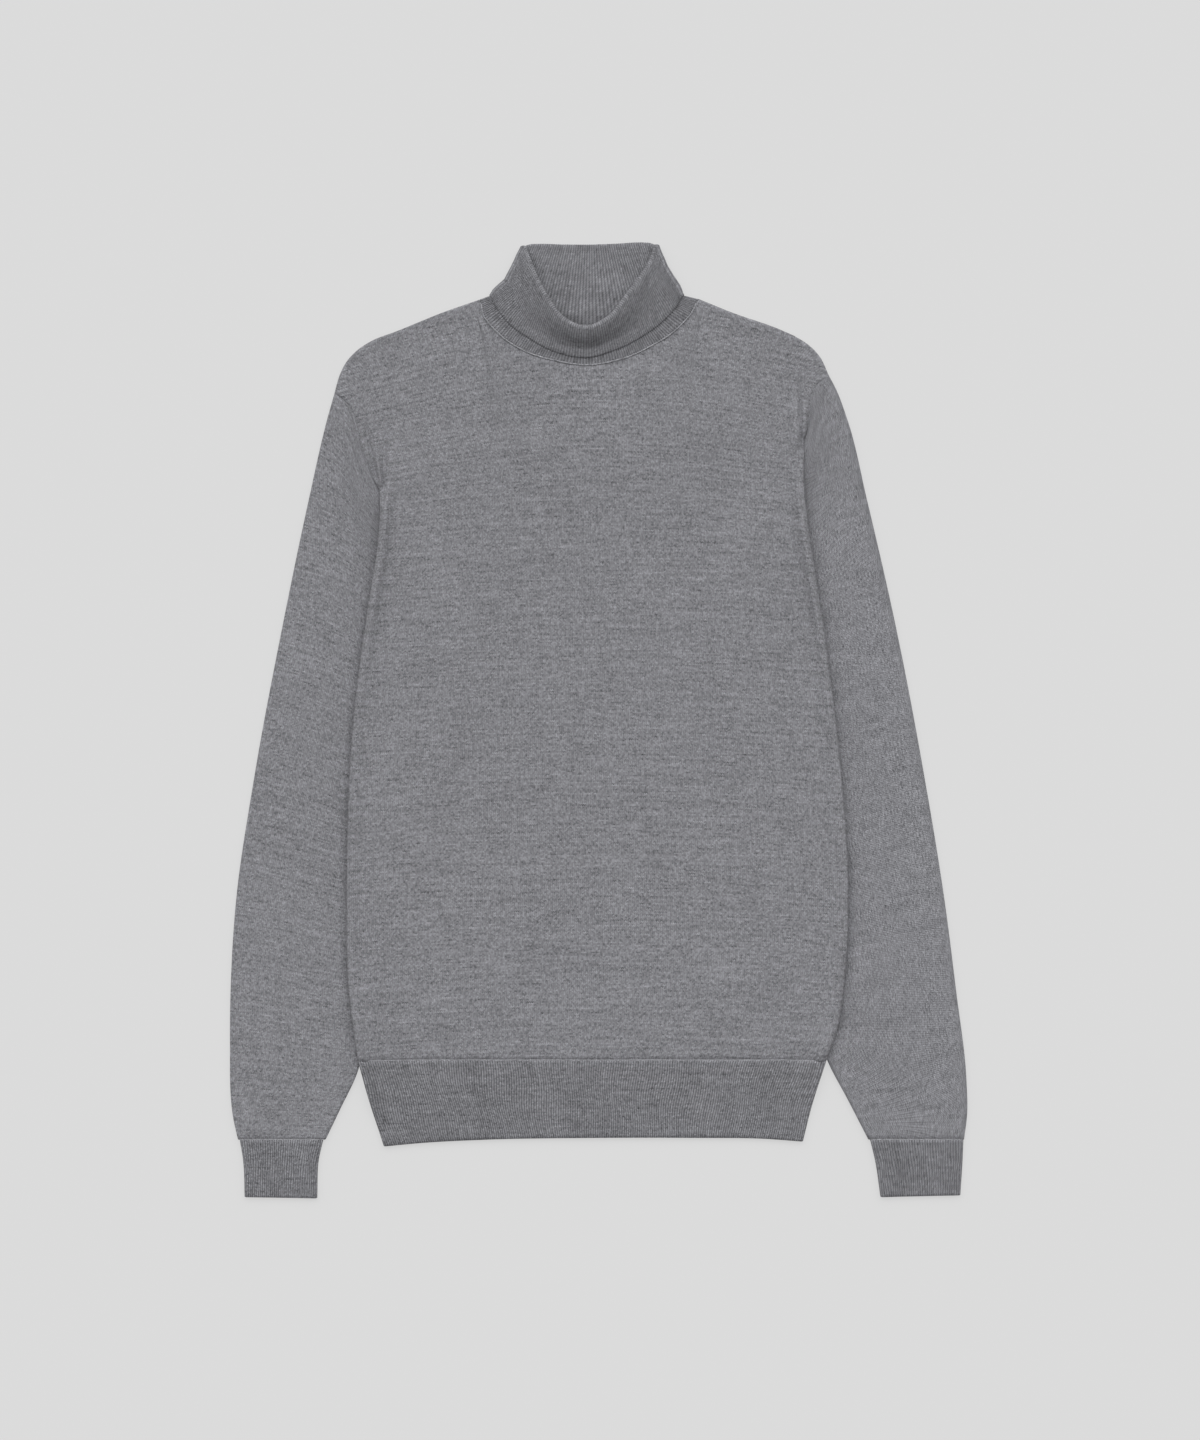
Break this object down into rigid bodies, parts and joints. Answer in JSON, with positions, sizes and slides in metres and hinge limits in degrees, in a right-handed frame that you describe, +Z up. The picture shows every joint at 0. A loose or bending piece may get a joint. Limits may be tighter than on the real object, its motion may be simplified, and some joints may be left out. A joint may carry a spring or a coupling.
{
  "type": "turtleneck sweater",
  "caption": "Fine-knit turtleneck sweater laid flat, front up, with long sleeves beside the body and ribbed collar, cuffs and hem.",
  "frame": {"origin": "on the table, under the middle of the laid garment", "axes": "+X to the right of someone looking down at the front, +Y from the hem to the neck, +Z up out of the front"},
  "size_m": [0.6034, 0.7817, 0.0185],
  "materials": {
    "jersey": "grey melange wool, fine plain knit, matt",
    "rib": "grey melange wool, fine one-by-one rib, matt"
  },
  "bodies": {
    "root": {"front_panel": "jersey", "back_panel": "jersey", "left_sleeve": "jersey", "right_sleeve": "jersey", "front_hem_rib": "rib", "back_hem_rib": "rib", "left_cuff_rib": "rib", "right_cuff_rib": "rib", "collar": "rib"}
  },
  "joints": []
}
